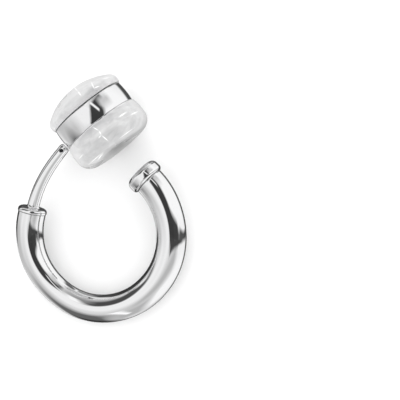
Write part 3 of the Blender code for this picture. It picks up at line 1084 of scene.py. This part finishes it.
# %% Camera
VIEW_TILT = math.radians(-15.85)
VIEW_LINE_ANGLE = math.radians(114.45)
HOOP_IN_VIEW = Vector((-11.218, -3.8873, -250.0)) * MM
SENSOR_WIDTH = 36.0
LENS = 200.27
NEAREST_SEEN = 0.01

camera_data = bpy.data.cameras.new("camera")
camera_data.sensor_width = SENSOR_WIDTH
camera_data.lens = LENS
camera_data.clip_start = NEAREST_SEEN
camera = bpy.data.objects.new("camera", camera_data)
bpy.context.scene.collection.objects.link(camera)
view_line = Vector((math.cos(VIEW_LINE_ANGLE), math.sin(VIEW_LINE_ANGLE), 0.0))
seen = Matrix.Translation(HOOP_IN_VIEW) @ Matrix.Rotation(VIEW_TILT, 4, view_line)
camera.matrix_world = LYING @ seen.inverted()
bpy.context.scene.camera = camera
print("camera height above the table in mm:", round(camera.matrix_world.translation.z / MM))

# %% [markdown]
# ## A light tent with dark cards
#
# Polished metal shows whatever stands round it, so it is photographed in a white tent with dark
# cards: without them silver looks like paper. Real sheets of card could be modelled, but each would
# also shade the table. So they are painted in the world instead, as directions. A direction from
# the earring is given by how far it leans from the hoop's own up and to which side, both in
# degrees, as on a map of the sky with up in the middle. Each card is a soft-edged rectangle on it.

# %% A node group that draws one card on the map of the tent
def card_group():
    """Paint one card over the light that comes from a direction."""
    tree, nodes, links, given, out = node_group(
        "tent_card",
        "ShaderNodeTree",
        inputs=(
            ("Map", "Vector", None),
            ("Centre", "Vector", None),
            ("Turn", "Float", 0.0),
            ("Half Width", "Float", 10.0),
            ("Half Height", "Float", 10.0),
            ("Soft Edge", "Float", 2.0),
            ("Light", "Float", 1.0),
            ("Level", "Float", 0.1),
        ),
        outputs=(("Light", "Float"),),
    )
    offset = vector_node(nodes, "SUBTRACT")
    turn = nodes.new("ShaderNodeVectorRotate")
    turn.rotation_type = "Z_AXIS"
    apart = nodes.new("ShaderNodeSeparateXYZ")
    links.new(given.outputs["Map"], offset.inputs[0])
    links.new(given.outputs["Centre"], offset.inputs[1])
    links.new(offset.outputs["Vector"], turn.inputs["Vector"])
    links.new(given.outputs["Turn"], turn.inputs["Angle"])
    links.new(turn.outputs["Vector"], apart.inputs["Vector"])
    sides = []
    for axis, half in (("X", "Half Width"), ("Y", "Half Height")):
        size = number_node(nodes, "ABSOLUTE")
        inside = number_node(nodes, "SUBTRACT")
        ratio = number_node(nodes, "DIVIDE")
        centred = number_node(nodes, "ADD", 0.0, 0.5)
        centred.use_clamp = True
        links.new(apart.outputs[axis], size.inputs[0])
        links.new(given.outputs[half], inside.inputs[0])
        links.new(size.outputs[0], inside.inputs[1])
        links.new(inside.outputs[0], ratio.inputs[0])
        links.new(given.outputs["Soft Edge"], ratio.inputs[1])
        links.new(ratio.outputs[0], centred.inputs[0])
        sides.append(centred)
    both = number_node(nodes, "MULTIPLY")
    links.new(sides[0].outputs[0], both.inputs[0])
    links.new(sides[1].outputs[0], both.inputs[1])
    mix = nodes.new("ShaderNodeMix")
    links.new(both.outputs[0], mix.inputs["Factor"])
    links.new(given.outputs["Light"], mix.inputs["A"])
    links.new(given.outputs["Level"], mix.inputs["B"])
    links.new(mix.outputs["Result"], out.inputs["Light"])
    return tree


TENT_CARD = card_group()
print("nodes in the group for one card:", len(TENT_CARD.nodes))

# %% [markdown]
# ## Hanging the cards
#
# The cards were placed one by one, and each change was compared with the photograph. All numbers but
# the level are degrees on the map, and each card is painted over the ones before it. The flag and
# the shelf make the broad dark stripes on the hoop's two sides, and the wall makes the one along
# the inside of its lower bend. The ring makes the thin dark line at the very edge.

# %% Hang the cards
CARD_COLUMNS = ("across", "up", "turn", "Half Width", "Half Height", "Soft Edge", "Level")
CARDS = {
    "window": (85, 50, 0, 50, 44, 30, 1.0),
    "low_window": (72, -72, 10, 46, 28, 24, 1.0),
    "left_window": (-96, -74, 125, 26, 10, 10, 1.05),
    "left_edge": (-121, -84, 125, 40, 9, 8, 0.12),
    "left_grey": (-100, -26, 90, 32, 34, 26, 0.55),
    "lower_left": (-62, -48, 32, 44, 22, 28, 0.57),
    "lower_grey": (-44, -88, 78, 44, 32, 24, 0.13),
    "below": (-44, -124, -20, 34, 22, 16, 0.03),
    "low_grey": (6, -82, 0, 20, 32, 20, 0.48),
    "lower_right": (24, -30, 10, 36, 17, 24, 0.5),
    "floor_end": (40, -136, 0, 66, 18, 26, 0.66),
    "wall_top": (-6, 66, 0, 40, 22, 30, 0.5),
    "wall_back": (-22, 50, 0, 36, 18, 24, 0.26),
    "wall": (-42, 42, 8, 28, 16, 12, 0.07),
    "wall_left": (-72, 22, 16, 24, 7, 12, 0.16),
    "wall_foot": (-34, 32, 4, 32, 7, 9, 0.07),
    "flare": (0, 36, 60, 14, 7, 9, 1.0),
    "shelf_end": (82, -10, -8, 26, 7, 10, 0.16),
    "shelf": (43, -2, -8, 26, 12, 10, 0.05),
    "flag": (22, 4, 0, 13, 18, 4, 0.042),
    "flag_side": (13, 8, 72, 20, 9, 5, 0.042),
    "flag_gusset": (29, 25, 0, 10, 14, 9, 0.045),
    "flag_arm": (26, 40, 60, 22, 7, 6, 0.05),
    "shelf_edge": (54, -13, -4, 44, 3, 3, 0.06),
    "arm_fade": (44, 52, 45, 17, 8, 13, 0.62),
    "leaf": (19, 30, -23, 9, 2.6, 3, 1.0),
    "rail": (112, -14, -14, 32, 8, 9, 0.09),
    "rail_foot": (140, -24, -20, 14, 9, 12, 0.06),
    "ring_1": (-129, 2, 85, 28, 22, 12, 0.05),
    "ring_2": (-119, 45, 70, 32, 26, 12, 0.04),
    "ring_3": (-94, 87, 47, 34, 27, 12, 0.04),
    "ring_4": (-56, 116, 26, 34, 18, 14, 0.06),
    "ring_5": (-8, 129, 6, 30, 16, 14, 0.3),
    "ring_6": (43, 122, -20, 18, 18, 12, 0.13),
    "chimney": (22, 122, -72, 16, 3.5, 6, 0.9),
    "slit": (-4, -60, -68, 24, 2.5, 4, 1.1),
}
print("cards in the tent:", ", ".join(CARDS))

# %% [markdown]
# ## Putting the tent up
#
# The world works out the map from each ray's direction and paints the cards in turn. Steeply below
# the hoop the tent is darkened, which draws a thin outline round the metal, as the table does in a
# real tent. Only reflections see the tent, and they don't see the table. Every other ray, the
# camera's too, sees one plain soft light, which lights the table evenly from all round.

# %% Put the tent up
TENT_LIGHT = 0.92
SOFT_LIGHT = 1.45
UNDER_FROM = 139.0
UNDER_TO = 153.0
UNDER_LEVEL = 0.08


def light_tent():
    """A world whose reflections show the tent, and whose light is plain and soft."""
    world = bpy.data.worlds.new("light_tent")
    world.use_nodes = True
    nodes, links = world.node_tree.nodes, world.node_tree.links
    background = nodes["Background"]
    place = nodes.new("ShaderNodeTexCoord")
    level = nodes.new("ShaderNodeVectorRotate")
    level.rotation_type = "AXIS_ANGLE"
    level.inputs["Axis"].default_value = tip_line
    level.inputs["Angle"].default_value = -LYING_TILT
    apart = nodes.new("ShaderNodeSeparateXYZ")
    lean = number_node(nodes, "ARCCOSINE")
    degrees = number_node(nodes, "DEGREES")
    flat = vector_node(nodes, "MULTIPLY", (0.0, 0.0, 0.0), (1.0, 1.0, 0.0))
    side = vector_node(nodes, "NORMALIZE")
    chart = vector_node(nodes, "SCALE")
    links.new(place.outputs["Generated"], level.inputs["Vector"])
    links.new(level.outputs["Vector"], apart.inputs["Vector"])
    links.new(apart.outputs["Z"], lean.inputs[0])
    links.new(lean.outputs[0], degrees.inputs[0])
    links.new(level.outputs["Vector"], flat.inputs[0])
    links.new(flat.outputs["Vector"], side.inputs[0])
    links.new(side.outputs["Vector"], chart.inputs[0])
    links.new(degrees.outputs[0], chart.inputs["Scale"])
    light = number_node(nodes, "ADD", TENT_LIGHT, 0.0)
    for name, row in CARDS.items():
        size = dict(zip(CARD_COLUMNS, row))
        card = nodes.new("ShaderNodeGroup")
        card.label = name
        card.node_tree = TENT_CARD
        card.inputs["Centre"].default_value = (size["across"], size["up"], 0.0)
        card.inputs["Turn"].default_value = math.radians(-size["turn"])
        for label in ("Half Width", "Half Height", "Soft Edge", "Level"):
            card.inputs[label].default_value = size[label]
        links.new(chart.outputs["Vector"], card.inputs["Map"])
        links.new(light.outputs[0], card.inputs["Light"])
        light = card
    under = range_node(nodes, {"From Min": UNDER_FROM, "From Max": UNDER_TO}, smooth_step=True)
    shaded = nodes.new("ShaderNodeMix")
    shaded.inputs["B"].default_value = UNDER_LEVEL
    links.new(degrees.outputs[0], under.inputs["Value"])
    links.new(under.outputs["Result"], shaded.inputs["Factor"])
    links.new(light.outputs[0], shaded.inputs["A"])
    ray = nodes.new("ShaderNodeLightPath")
    seen = nodes.new("ShaderNodeMix")
    seen.inputs["A"].default_value = SOFT_LIGHT
    links.new(ray.outputs["Is Glossy Ray"], seen.inputs["Factor"])
    links.new(shaded.outputs["Result"], seen.inputs["B"])
    links.new(seen.outputs["Result"], background.inputs["Color"])
    return world


bpy.context.scene.world = light_tent()
bpy.context.scene.view_settings.view_transform = "Standard"
floor.visible_glossy = False
print("nodes in the tent's world:", len(bpy.context.scene.world.node_tree.nodes))

# %% [markdown]
# ## The overhead lamp
#
# Light from all round alone makes rubber look flat. One large soft lamp, high up beyond the clip,
# gives the pads a little modelling. Reflections don't see it, so it adds no spot to the silver.

# %% Hang the lamp
LAMP_WIDTH = 0.35
LAMP_WATTS = 0.35
LAMP_PLACE = Vector((0.0, 0.42, 0.3))

lamp_data = bpy.data.lights.new("overhead_softbox", "AREA")
lamp_data.shape = "DISK"
lamp_data.size = LAMP_WIDTH
lamp_data.energy = LAMP_WATTS
lamp = bpy.data.objects.new("overhead_softbox", lamp_data)
bpy.context.scene.collection.objects.link(lamp)
lamp.location = LAMP_PLACE
lamp.rotation_euler = (-LAMP_PLACE).to_track_quat("-Z", "Y").to_euler()
lamp.visible_glossy = False
print("lamp to earring:", round(LAMP_PLACE.length, 2), "m")
